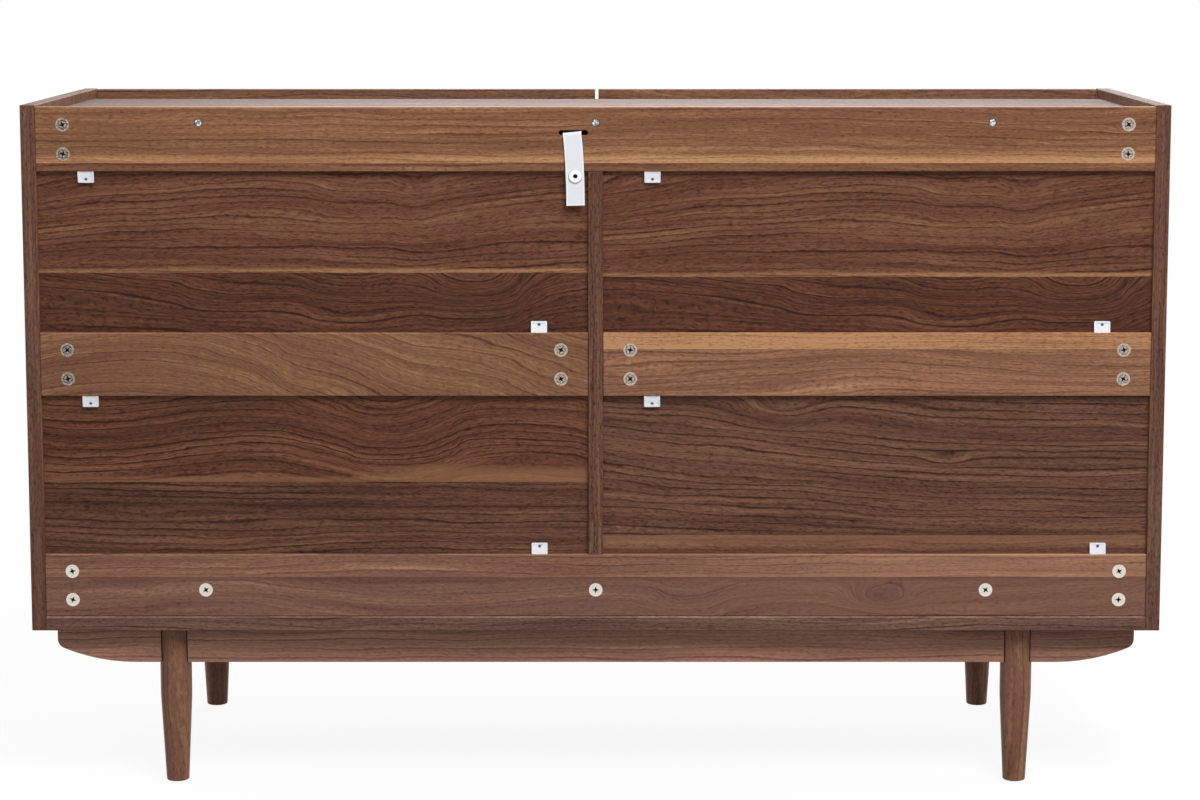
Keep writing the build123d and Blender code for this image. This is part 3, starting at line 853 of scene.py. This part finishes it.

# %% [markdown]
# The cams are cast, with a rim and a rough face; a pale rim and a darker ring are painted on as highlight and
# shade. Each could have a finish of its own, but they stand in a regular pattern, so folding the plane over
# lines of symmetry lays all of them on each other, and one distance then gives the rings of each. Those of
# the bottom rail have a cream face.

# %% Where the cams are
CAM_INSET, CAM_PITCH = 0.030, 0.032  # from a rail's end to its cams, and between the two of a pair
BAY_MIDDLE = (DIVIDER_FACE + RAIL_END) / 2  # from the dresser's middle to the middle of a bay
CAM_REACH = RAIL_END - CAM_INSET - BAY_MIDDLE  # from there to the cams at a rail's ends
RAIL_LEVEL = (BOTTOM_FOOT + BOTTOM_EDGE) / 2  # middle of the bottom rail
RAIL_STEP = MIDDLE_EDGE - BOTTOM_EDGE  # from each rail to the next
FIXING_REACH = 0.4315  # from the dresser's middle to the outer fixings along a rail
FIXING_LEVEL = 0.224  # of the cams along the bottom rail


def from_fixing(x):
    """How far x is from the nearest of the three fixings along a rail: fold it twice."""
    return abs(abs(abs(x) - FIXING_REACH / 2) - FIXING_REACH / 2)


def cam_distance(x, z):
    """How far a point is from the nearest cam's axis: fold x and z until every axis lies at zero."""
    end_x = abs(abs(abs(x) - BAY_MIDDLE) - CAM_REACH)
    rail_z = z.maths("FLOORED_MODULO", z - (RAIL_LEVEL - RAIL_STEP / 2), RAIL_STEP)
    end_z = abs(abs(rail_z - RAIL_STEP / 2) - CAM_PITCH / 2)
    along = diagonal(from_fixing(x), z - FIXING_LEVEL)
    return x.maths("MINIMUM", diagonal(end_x, end_z), along)


print("rails are", round(RAIL_STEP * 1000, 1), "mm apart and cams", CAM_PITCH * 1000, "mm")

# %% [markdown]
# A cam's face is rough cast metal with a ring and a rim, and a cross sunk in it. Relief so fine would take
# many small faces, so the ring and the rim are bands of the distance from the axis, painted as shade and
# highlight, the grit is noise, and whatever lies deeper than the face is painted black, as painted shade in a
# narrow slot.

# %% Cams
RING = ((0.0036, 0.0042), (0.0050, 0.0056))  # over which radii the dark ring starts, and ends; the ring is painted shade
RIM = ((0.0057, 0.0063), (0.0068, 0.0074))  # the same for the pale rim, a painted highlight
HUB = (0.0011, 0.0022)  # over which radii the black middle of the cross, painted shade, ends
SUNK = (0.0002, 0.0012)  # depth below the back at which the cross turns black, as painted shade
CAM_SHADE_SPAN = (-0.2, 0.5)  # from where to where along the dresser the cams darken: painted shade, away from the key lamp

cam_metal, sockets, start = new_finish("cast_zinc", {"Specular IOR Level": 0.12})
at = place_on_piece(start)
x, y, z = parts(at)
radius = cam_distance(x, z)
grit = noise(at, [520.0] * 3, 2.0, 0.7) - 0.5
# painted highlight and shade: a pale rim and a dark ring, bands of the distance from the axis
painted_rim = smooth(radius, *RIM[0]) - smooth(radius, *RIM[1]) * 0.7
ring = smooth(radius, *RING[0]) - smooth(radius, *RING[1])
hub = 1.0 - smooth(radius, *HUB)
# painted shade: black where the cross lies deeper than the face, and at its middle
recess_shade = start.maths("MAXIMUM", smooth(BACK - y, *SUNK), hub)
low = z < BOTTOM_EDGE
# painted shade: the cams darken towards +x, away from the key lamp
cam_shade = smooth(x, *CAM_SHADE_SPAN)
dull_share = grit * 2.4 - ring * 0.3 + painted_rim * 0.12 - cam_shade * 0.32 + 0.74
dull_face = mix(dull_share, screen("#3a322c"), screen("#c2b3a6"))
cream_share = grit * 0.8 - ring * 0.08 + painted_rim * 0.05 + 0.9
cream_face = mix(cream_share, screen("#b3a89e"), screen("#efe5da"))
put(sockets["Base Color"], mix(recess_shade, mix(low, dull_face, cream_face), screen("#050403")))
put(sockets["Metallic"], (0.7 - low * 0.6) * (1.0 - recess_shade))
put(sockets["Roughness"], grit * 0.3 + 0.42)
bumpy(sockets, grit + painted_rim, 0.3, 0.0003)
wear(cam_metal, "cam_locks")

# %% [markdown]
# The other metal is zinc plated: screws and bolts are bright, and the runners show the long marks of
# rolling, which are noise drawn out along y. Even metal would look like grey paint, so both vary in colour
# and roughness.

# %% Screws, bolts and runners
plated, sockets, start = new_finish("plated_steel", {"Metallic": 0.9})
grain = noise(place_on_piece(start), [500.0] * 3, 2.0)
put(sockets["Base Color"], mix(grain, screen("#8f8d88"), screen("#dcdad4")))
put(sockets["Roughness"], grain * 0.25 + 0.2)
wear(plated, "case_screws", "cam_bolts", "leg_bolts")

rolled, sockets, start = new_finish("rolled_steel", {"Metallic": 0.9})
at = place_on_piece(start)
marks = noise(at, (600.0, 6.0, 600.0), 2.0)
blotch = noise(at, (40.0, 25.0, 40.0), 1.0)
put(sockets["Base Color"], mix(marks * 0.6 + blotch * 0.4, screen("#85868a"), screen("#c9cacc")))
put(sockets["Roughness"], marks * 0.25 + 0.25)
bumpy(sockets, marks, 0.1, 0.0002)
wear(rolled, "case_runners", *[name + "_runners" for name in drawers])

# %% [markdown]
# Dowels are beech, with short pale flecks. The wedges are white plastic, slightly mottled, with a soft sheen,
# and painted grey inside their blind holes and at the foot of their sides, as painted shade. The eyelet is
# the same plastic, but whiter and with a grey rim of painted shade, so that it stands out on the strap as the
# real one does, and it has a finish of its own.

# %% Dowels and white plastic
beech, sockets, start = new_finish("beech", {"Roughness": 0.6})
fleck = noise(place_on_piece(start), (120.0, 700.0, 700.0), 2.0)
put(sockets["Base Color"], mix(fleck, screen("#b58f62"), screen("#e0c39a")))
wear(beech, "dowels")

MOTTLE = [260.0] * 3  # waves of the plastic's mottle to the metre
WEDGE_FLOOR = BACK - 0.0027  # the plane below which a wedge is painted grey, as shade in its holes and at its foot
plastic, sockets, start = new_finish("white_plastic", {})
at = place_on_piece(start)
mottle = noise(at, MOTTLE, 3.0)
# painted shade: grey below that plane
recess_shade = smooth(WEDGE_FLOOR - parts(at)[1], 0.0, 0.0008)
face = mix(mottle, screen("#dfe1e6"), screen("#eff0f4"))
put(sockets["Base Color"], mix(recess_shade, face, screen("#85888e")))
put(sockets["Roughness"], mottle * 0.2 + 0.3)
bumpy(sockets, mottle, 0.05, 0.0002)
wear(plastic, "back_panel_clips")

EYELET_X, _, EYELET_Z = middle_of("strap_eyelet")
EYELET_RIM = (0.0062, 0.0075)  # over which radii its grey rim of painted shade starts
moulded, sockets, start = new_finish("moulded_eyelet", {"Specular IOR Level": 0.3})
at = place_on_piece(start)
x, _, z = parts(at)
mottle = noise(at, MOTTLE, 3.0)
# painted shade: the eyelet greys towards its rim
painted_rim = smooth(diagonal(x - EYELET_X, z - EYELET_Z), *EYELET_RIM)
face = mix(mottle, screen("#f8f8fb"), screen("#ffffff"))
put(sockets["Base Color"], mix(painted_rim, face, screen("#b9bbc6")))
put(sockets["Roughness"], mottle * 0.2 + 0.3)
wear(moulded, "strap_eyelet")

# %% [markdown]
# The wall strap is a woven tape that is screwed under the top, comes out of the slot and hangs down the
# back. It could be a bent box, but a tape has thick selvedges and leans a little, so it is a surface with
# two parameters: how far along the tape, and how far across it. Both layers are worked out at once, with a
# hole for the eyelet.

# %% The tape's line
TAPE_WIDTH = 0.020
TAPE_RUN = 0.0699  # under the top, to where the tape starts to bend
TAPE_BEND = 0.0024  # radius of the bend
TAPE_DROP = 0.0768  # how far the tape hangs below the bend
TAPE_SAG = 0.0018  # how far the tape sinks on its way to the slot
TAPE_GAP = 0.001  # from the top's lower face to the tape's middle line
TAPE_START = (corners_of("wall_strap")[0][1], corners_of("top_panel")[0][2] - TAPE_GAP)  # y and z
SLOT_X = 0.0254  # x of the tape's middle where it leaves the slot
LEAN, LEAN_FADE = 0.0042, 0.035  # how far the tape leans to one side, and over what drop
TIP_IN, TIP_OUT = 0.11, 0.08  # how far it tips in the slot, and back again below it
tape_length = TAPE_RUN + TAPE_BEND * math.pi / 2 + TAPE_DROP


def ease(value, low, high):
    """0 below low, 1 above high, and 3 t squared less 2 t cubed between them."""
    t = np.clip((value - low) / (high - low), 0, 1)
    return t * t * (3 - 2 * t)


def tape_line(s):
    """The tape's middle line at the length s, its way across and its normal.

    It runs straight back and sinks a little, makes a quarter turn and hangs down. Its lean in x dies away
    as an exponential of the drop, and the way across tips with it, most at the slot.
    """
    turn = np.clip((s - TAPE_RUN) / TAPE_BEND, 0, math.pi / 2)
    drop = np.clip(s - TAPE_RUN - TAPE_BEND * math.pi / 2, 0, None)
    y = TAPE_START[0] + np.minimum(s, TAPE_RUN) + TAPE_BEND * np.sin(turn)
    z = TAPE_START[1] - TAPE_SAG * ease(s, 0.02, TAPE_RUN) - TAPE_BEND * (1 - np.cos(turn)) - drop
    x = SLOT_X - LEAN * (1 - np.exp(-drop / LEAN_FADE))
    tip = TIP_OUT * ease(drop, 0.01, 0.05) - TIP_IN * ease(s, 0.015, TAPE_RUN)
    across = np.stack([1 + 0 * s, 0 * s, tip], -1)
    normal = np.stack([0 * s, np.sin(turn), np.cos(turn)], -1)
    return np.stack([x, y, z], -1), across, normal


print("tape", round(tape_length * 1000, 1), "mm long")

# %% [markdown]
# A woven edge is thicker than the middle, because the weft turns back there. A bevel could only round the
# edge off, so the thickness is a formula of the place across: a soft ridge along each side, cut back at the
# very edge.

# %% The tape's surface
STEPS, LANES = 320, 44  # cells along the tape and across it
SELVEDGE = 0.05  # width of the ridge along an edge, as a share of the tape's
HALF, RIDGE, CUT = 0.00058, 0.00016, 0.0002  # half the thickness, what the ridge adds and the edge loses

s = np.linspace(0, tape_length, STEPS + 1)[:, None]
w = np.linspace(-0.5, 0.5, LANES + 1)[None, :]
middle, sideways, normal = tape_line(s[:, 0])
selvedge = 1 / (1 + ((0.5 - np.abs(w)) / SELVEDGE) ** 4)
half = HALF + RIDGE * selvedge - CUT * (np.abs(w) > 0.499)
across = w[..., None] * TAPE_WIDTH * sideways[:, None]
layers = [middle[:, None] + across + side * half[..., None] * normal[:, None] for side in (1, -1)]
points = np.concatenate([layer.reshape(-1, 3) for layer in layers])
print(len(points), "points in two layers")

# %% [markdown]
# The cells of the grid that fall inside the eyelet are left out of both layers. A boolean cut would leave
# long thin faces there. Wherever a kept cell borders on none, at the hole and round the tape, a wall joins
# the two layers, so the tape is closed.

# %% The tape's faces
EYELET_HOLE = 0.0037  # radius of the hole in the tape
index = np.arange((STEPS + 1) * (LANES + 1)).reshape(STEPS + 1, LANES + 1)
corner = [index[:-1, :-1], index[1:, :-1], index[1:, 1:], index[:-1, 1:]]
centre = sum(points[c] for c in corner) / 4
from_eyelet = np.hypot(centre[..., 0] - EYELET_X, centre[..., 2] - EYELET_Z)
kept = (from_eyelet > EYELET_HOLE) | (centre[..., 1] < BACK)
top_faces = np.stack(corner, -1)[kept]
faces = [top_faces, top_faces[:, ::-1] + index.size]
ring = np.pad(kept, 1)
for axis, shift, a, b in (
    (0, 1, corner[3], corner[0]),
    (0, -1, corner[1], corner[2]),
    (1, 1, corner[0], corner[1]),
    (1, -1, corner[2], corner[3]),
):
    open_side = (ring & ~np.roll(ring, shift, axis))[1:-1, 1:-1]
    first, second = a[open_side], b[open_side]
    faces.append(np.stack([second, first, first + index.size, second + index.size], -1))
tape_faces = np.concatenate(faces)
print(len(tape_faces), "faces,", (~kept).sum(), "cells left out for the eyelet")

# %% [markdown]
# The weave follows the tape, so it is drawn on the tape's own flat map, where one unit is the tape's width.
# Real threads would take far too many faces. Two sine waves, one along each set of threads, look the same
# from a step away. The edges and the folded end are drawn whiter.

# %% The tape and its weave
WARP, WEFT = 26, 34  # threads across the tape, and threads along one width of it


def into_scene(name, data):
    """Put a mesh, a lamp or a camera into the scene, as an object."""
    thing = bpy.data.objects.new(name, data)
    bpy.context.scene.collection.objects.link(thing)
    return thing


def new_piece(name, points, faces, finish, body):
    """Make a mesh from points and faces, give it a finish and let it ride on a body."""
    mesh = bpy.data.meshes.new(name)
    mesh.from_pydata(points.tolist(), [], faces.tolist())
    mesh.materials.append(finish)
    piece = into_scene(name, mesh)
    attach(piece, body)
    print(name, len(points), "points", len(faces), "faces")
    return piece


weave, sockets, start = new_finish("woven_tape", {"Roughness": 0.75, "Specular IOR Level": 0.2})
u, v, _ = parts(start.node("TexCoord", out=2))
warp = start.maths("SINE", u * (WARP * 2 * math.pi) + (start.maths("FLOOR", v * WEFT) * math.pi))
weft = abs(start.maths("SINE", v * (WEFT * math.pi)))
thread = warp * weft
fuzz = noise(together(u, v, 0.0), (30.0, 60.0, 1.0), 2.0)
tape_end = tape_length / TAPE_WIDTH
bound = smooth(abs(u - 0.5), 0.40, 0.43) + smooth(v, tape_end - 0.09, tape_end - 0.06)
lift = thread * 0.2 + fuzz * 0.25 + bound * 0.4 + 0.25
put(sockets["Base Color"], mix(lift, screen("#dadbe6"), screen("#fafafc")))
bumpy(sockets, thread, 0.35, 0.0002)

tape = new_piece("wall_tape", points, tape_faces, weave, "case")
flat_u, flat_v = np.broadcast_to(w + 0.5, index.shape), np.broadcast_to(s / TAPE_WIDTH, index.shape)
tape_uv = np.tile(np.stack([flat_u, flat_v], -1).reshape(-1, 2), (2, 1))
layer = tape.data.uv_layers.new(name="weave")
layer.data.foreach_set("uv", tape_uv[tape_faces.ravel()].ravel())
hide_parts("wall_strap")

# %% [markdown]
# The three screws of the top rail are sunk, with a domed head and a hexagonal socket. A solid cylinder
# stands there already, so only the head's face is made: rings of points from the socket's floor out to the
# rim, for all three at once.

# %% Screw heads of the top rail
SCREW_Y = corners_of("case_screws")[1][1] + 0.00002  # just clear of the cylinder
SCREW_Z = middle_of("top_panel")[2]  # the screws go into the edge of the top
SOCKET = 0.0016  # half the socket's width
HEAD_CORNERS = 48
HEAD_RIM = (0.0033, 0.0042)  # over which radii the dark rim of a head starts: painted shadow of the hole it is sunk in


def hexagon(angle, flat):
    """The distance from the middle of a hexagon to its side, at an angle, for a given half width."""
    return flat / np.cos((angle + math.pi / 6) % (math.pi / 3) - math.pi / 6)


turns = np.linspace(0, 2 * math.pi, HEAD_CORNERS, endpoint=False)
socket = hexagon(turns, SOCKET)
dome = [0 * turns + radius for radius in (0.0028, 0.0036, 0.0041, 0.0042)]
radii = np.stack([0 * turns, socket * 0.9, socket, socket * 1.08] + dome)
heights = np.array([0.0, 0.0, 0.00095, 0.0011, 0.00105, 0.0008, 0.0004, 0.0])[:, None]
places = np.array([-FIXING_REACH, 0.0, FIXING_REACH])[:, None, None]
grid = np.broadcast_arrays(
    places + radii * np.cos(turns), SCREW_Y + heights, SCREW_Z + radii * np.sin(turns)
)
screw_points = np.stack(grid, -1).reshape(-1, 3)
number = np.arange(len(screw_points)).reshape(grid[0].shape)
following = np.roll(number, -1, 2)
quads = [number[:, :-1], number[:, 1:], following[:, 1:], following[:, :-1]]
screw_faces = np.stack(quads, -1).reshape(-1, 4)

screw_steel, sockets, start = new_finish("screw_steel", {"Metallic": 0.8})
at = place_on_piece(start)
x, _, z = parts(at)
# painted shadow: the head darkens towards its rim
painted_rim = smooth(diagonal(from_fixing(x), z - SCREW_Z), *HEAD_RIM)
stain = smooth(noise(at, [420.0] * 3, 1.0), 0.42, 0.6)
face = mix(stain, screen("#77787b"), screen("#e4e7eb"))
put(sockets["Base Color"], mix(painted_rim, face, screen("#4a4441")))
put(sockets["Roughness"], painted_rim * 0.3 - stain * 0.1 + 0.35)
new_piece("rail_screw_faces", screw_points, screw_faces, screw_steel, "case")

# %% [markdown]
# In the photograph the dresser stands on plain white, lit softly from the camera's side and from above.
# More light would wash the wood out, so the floor is a wide disc that looks white to the camera and still
# takes the dresser's shadow, and the sky is white to the camera and to gloss, but softer as a light.

# %% Floor and sky
FLOOR_RADIUS, FLOOR_SINK = 60.0, 0.0005  # the disc lies a little below the feet
FLOOR_CORNERS = 96
GLOW_NEAR = 0.91  # share of the floor's look that is plain white, near the dresser
SKY_LIGHT = 0.15  # strength of the sky where it only lights


def seen_by_eye(start):
    """1 for what the camera, gloss or glass sees, 0 for light that falls on a rough surface."""
    path = [start.node("LightPath", out=i) for i in (0, 3, 6)]
    return start.maths("MINIMUM", path[0] + path[1] + path[2], 1.0)


floor_paper = bpy.data.materials.new("floor_paper")
floor_paper.use_nodes = True
tree = floor_paper.node_tree
tree.nodes.remove(tree.nodes["Principled BSDF"])
start = Wire(tree)
x, y, _ = parts(place_on_piece(start))
eye_share = seen_by_eye(start)
far = smooth(diagonal(x, y), 1.0, 5.0)
rough = start.node("BsdfDiffuse", sockets={"Color": mix(eye_share, screen("#a4a4a4"), screen("#ffffff"))})
glow = start.node("Emission", sockets={"Color": screen("#ffffff"), "Strength": 1.0})
glow_share = eye_share * (far * (1 - GLOW_NEAR) + GLOW_NEAR)
paper = start.node("MixShader", sockets={0: glow_share, 1: rough, 2: glow})
put(tree.nodes["Material Output"].inputs["Surface"], paper)

around = np.linspace(0, 2 * math.pi, FLOOR_CORNERS, endpoint=False)
disc = np.stack(
    [FLOOR_RADIUS * np.cos(around), FLOOR_RADIUS * np.sin(around), 0 * around - FLOOR_SINK], -1
)
floor_mesh = bpy.data.meshes.new("floor")
floor_mesh.from_pydata(disc.tolist(), [], [list(range(FLOOR_CORNERS))])
floor_mesh.materials.append(floor_paper)
floor = into_scene("floor", floor_mesh)

world = bpy.data.worlds.new("white_sky")
bpy.context.scene.world = world
world.use_nodes = True
sky = world.node_tree.nodes["Background"].inputs
sky["Color"].default_value = screen("#ffffff")
put(sky["Strength"], seen_by_eye(Wire(world.node_tree)) * (1 - SKY_LIGHT) + SKY_LIGHT)
print("floor", 2 * FLOOR_RADIUS, "m wide, sky of", SKY_LIGHT, "as a light")

# %% [markdown]
# A studio lights such a piece with large soft boxes. A sun would give hard shadows, and a bright sky none,
# so square lamps are used: the key above the camera, a weak fill beside it, one over the front that draws
# the light along the top, and one at each end.


# %% Lamps
def soft_box(name, place, aim, size, power):
    """A square lamp at a place, turned to face a point. Its size is in metres and its power in watts."""
    lamp = bpy.data.lights.new(name, "AREA")
    lamp.shape = "SQUARE"
    lamp.size = size
    lamp.energy = power
    holder = into_scene(name, lamp)
    holder.location = place
    holder.rotation_euler = (Vector(aim) - Vector(place)).to_track_quat("-Z", "Y").to_euler()
    print(name, power, "W")


soft_box("key", (-0.9, 2.6, 3.5), aim=(0, 0.1, 0.4), size=1.7, power=160)
soft_box("fill", (0.9, 3.6, 1.4), aim=(0, 0.1, 0.4), size=1.8, power=12)
soft_box("front", (-0.2, -3.3, 3.0), aim=(0, -0.1, 0.4), size=2.4, power=105)
soft_box("left", (-3.4, -0.7, 2.0), aim=(-0.5, 0, 0.4), size=1.8, power=36)
soft_box("right", (3.4, -0.7, 2.0), aim=(0.5, 0, 0.4), size=1.8, power=36)

# %% [markdown]
# The photograph was taken level, with the verticals parallel. A level camera would need a large shift,
# which carries the dresser out of the frame when it is seen from higher up. A camera that is tipped a few
# degrees and shifted a little comes close, and keeps the dresser in the frame from other sides as well.

# %% Camera
TIP = 7.0  # degrees below level
view = bpy.data.cameras.new("view")
view.lens = 87.46
view.sensor_width = 36.0
view.shift_x = -0.006
view.shift_y = -0.0736
eye = into_scene("view", view)
eye.location = (-0.0127, 3.366, 0.9231)
eye.rotation_euler = (math.radians(90.0 - TIP), 0.0, math.radians(180.0))
bpy.context.scene.camera = eye
bpy.context.scene.view_settings.view_transform = "Standard"
print("camera at", tuple(eye.location))
